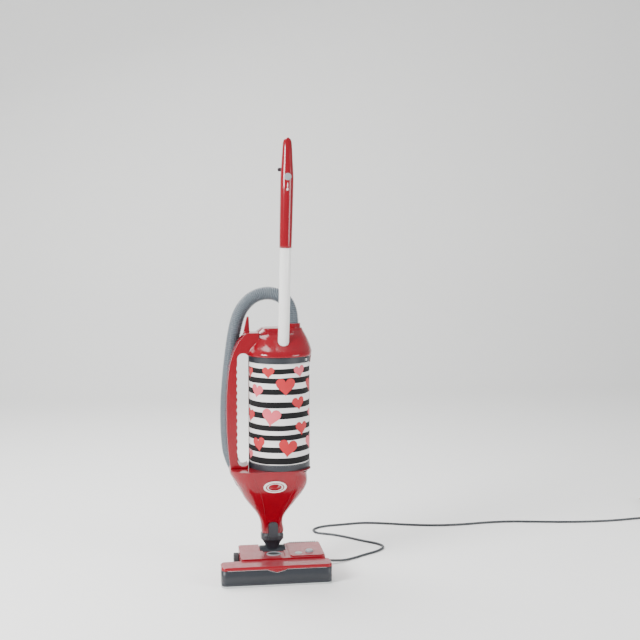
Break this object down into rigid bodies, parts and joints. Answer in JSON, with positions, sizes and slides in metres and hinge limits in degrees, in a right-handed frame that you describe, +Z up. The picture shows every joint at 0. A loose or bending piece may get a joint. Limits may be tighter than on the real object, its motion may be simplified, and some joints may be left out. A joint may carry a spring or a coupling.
{
  "type": "upright vacuum cleaner",
  "caption": "Slim upright vacuum cleaner: swivelling tip-back body with carry rail, striped filter cover, side hose and long handle on a wide brush head, with coiled mains lead.",
  "frame": {"origin": "on the floor, under the middle of the cleaner's box, measured without the mains lead", "axes": "+Z up along the handle tube, +X to the right seen from the front, -Y towards the brush bar"},
  "size_m": [1.654, 0.7035, 1.2419],
  "materials": {
    "red_gloss": "glossy moulded ABS, bright red",
    "dark_plastic": "satin moulded polypropylene, dark grey",
    "pale_strip": "soft light grey strip",
    "grey_knob": "pale grey moulded button",
    "chrome_ring": "plated plastic ring",
    "clear_lens": "milky lens",
    "felt": "felt glide",
    "steel": "turned steel",
    "motor_can": "pressed steel can",
    "rubber_black": "black rubber",
    "bristle": "nylon bristle",
    "board": "printed circuit board",
    "tyre_rubber": "soft tyre",
    "white_tube": "white powder-coated tube",
    "hose_grey": "corrugated polyethylene hose, grey",
    "sleeve_print": "printed polyester sleeve, black stripes with hearts",
    "filter_felt": "pleated non-woven filter",
    "bag_paper": "non-woven dust bag",
    "badge_white": "white oval badge with a red field",
    "cord_pvc": "dark flexible mains lead",
    "plug_pvc": "moulded plug",
    "nickel": "nickel-plated pins"
  },
  "bodies": {
    "power_head": {"sole_plate": "dark_plastic", "front_glides": "felt", "bumper_strip": "pale_strip", "front_visor": "dark_plastic", "head_cover": "red_gloss", "pedal_ring": "chrome_ring", "status_lens": "clear_lens", "brush_motor": "motor_can", "drive_belt": "rubber_black", "brush_bearings": "steel", "suction_duct": "dark_plastic", "control_board": "board", "trunnion_pins": "steel", "wheel_axles": "steel", "head_screws": "steel", "lead_gland": "rubber_black", "mains_cord": "cord_pvc", "cord_coil": "cord_pvc", "cord_tail": "cord_pvc", "plug_body": "plug_pvc", "plug_pins": "nickel"},
    "pedal": {"release_pedal": "dark_plastic"},
    "brush_switch": {"brush_button": "grey_knob"},
    "brush": {"brush_roller": "dark_plastic", "brush_tufts": "bristle"},
    "belt_pulley": {"motor_pulley": "dark_plastic"},
    "left_wheel": {"left_wheel_hub": "dark_plastic", "left_tyre": "tyre_rubber"},
    "right_wheel": {"right_wheel_hub": "dark_plastic", "right_tyre": "tyre_rubber"},
    "knuckle": {"neck_knuckle": "dark_plastic", "swivel_clip": "steel"},
    "upright": {"neck_sleeve": "dark_plastic", "lower_housing": "red_gloss", "badge": "badge_white", "lower_rear_shell": "red_gloss", "suction_motor": "motor_can", "motor_seals": "rubber_black", "rear_shell": "red_gloss", "bag_tub": "dark_plastic", "dust_bag": "bag_paper", "bag_collar": "dark_plastic", "dome_lid": "red_gloss", "carry_rail": "red_gloss", "hose": "hose_grey", "hose_collar": "red_gloss", "hose_cuff": "dark_plastic", "tube_socket": "dark_plastic", "handle_tube": "white_tube", "handle_front_shell": "red_gloss", "handle_rear_shell": "red_gloss", "power_switch": "dark_plastic", "lower_lead_hook": "dark_plastic"},
    "fan": {"motor_fan": "dark_plastic"},
    "filter_cover": {"filter_frame": "dark_plastic", "exhaust_filter": "filter_felt", "filter_sleeve": "sleeve_print"},
    "latch": {"cover_latch": "dark_plastic"},
    "button": {"power_button": "grey_knob"},
    "lead_hook": {"upper_lead_hook": "dark_plastic"}
  },
  "joints": [
    {"name": "neck_recline", "type": "hinge", "parent": "power_head", "child": "knuckle", "pos_m": [0, 0.04, 0.05], "axis": [-1, 0, 0], "range_deg": [0, 80]},
    {"name": "body_swivel", "type": "hinge", "parent": "knuckle", "child": "upright", "pos_m": [0, 0.04, 0.1], "axis": [0, 0, 1], "range_deg": [-90, 90]},
    {"name": "left_wheel_spin", "type": "hinge", "parent": "power_head", "child": "left_wheel", "pos_m": [-0.1046, 0.048, 0.024], "axis": [1, 0, 0], "continuous": true},
    {"name": "right_wheel_spin", "type": "hinge", "parent": "power_head", "child": "right_wheel", "pos_m": [0.126, 0.048, 0.024], "axis": [1, 0, 0], "continuous": true},
    {"name": "brush_spin", "type": "hinge", "parent": "power_head", "child": "brush", "pos_m": [0, -0.088, 0.026], "axis": [1, 0, 0], "continuous": true},
    {"name": "pulley_spin", "type": "hinge", "parent": "power_head", "child": "belt_pulley", "pos_m": [0.129, -0.002, 0.03], "axis": [1, 0, 0], "continuous": true},
    {"name": "pedal_press", "type": "slide", "parent": "power_head", "child": "pedal", "axis": [0, 0, -1], "range_m": [0, 0.004], "stiffness_N_per_m": 900, "springref_m": -0.002},
    {"name": "brush_switch_press", "type": "slide", "parent": "power_head", "child": "brush_switch", "axis": [0, 0, -1], "range_m": [0, 0.003], "stiffness_N_per_m": 500, "springref_m": -0.002},
    {"name": "fan_spin", "type": "hinge", "parent": "upright", "child": "fan", "pos_m": [-0.002, 0.03, 0.299], "axis": [0, 0, 1], "continuous": true},
    {"name": "cover_pull", "type": "slide", "parent": "upright", "child": "filter_cover", "axis": [0, -1, 0], "range_m": [0, 0.07]},
    {"name": "latch_press", "type": "slide", "parent": "filter_cover", "child": "latch", "axis": [-0.809, 0.5878, 0], "range_m": [0, 0.0014], "stiffness_N_per_m": 400, "springref_m": -0.002},
    {"name": "power_press", "type": "slide", "parent": "upright", "child": "button", "axis": [0, 1, 0], "range_m": [0, 0.002], "stiffness_N_per_m": 500, "springref_m": -0.002},
    {"name": "lead_hook_turn", "type": "hinge", "parent": "upright", "child": "lead_hook", "pos_m": [0.04012, 0, 1.15283], "axis": [0, 1, 0], "range_deg": [0, 180]}
  ],
  "couplings": [
    {"joint": "pulley_spin", "follows": "brush_spin", "ratio": 1.75}
  ]
}
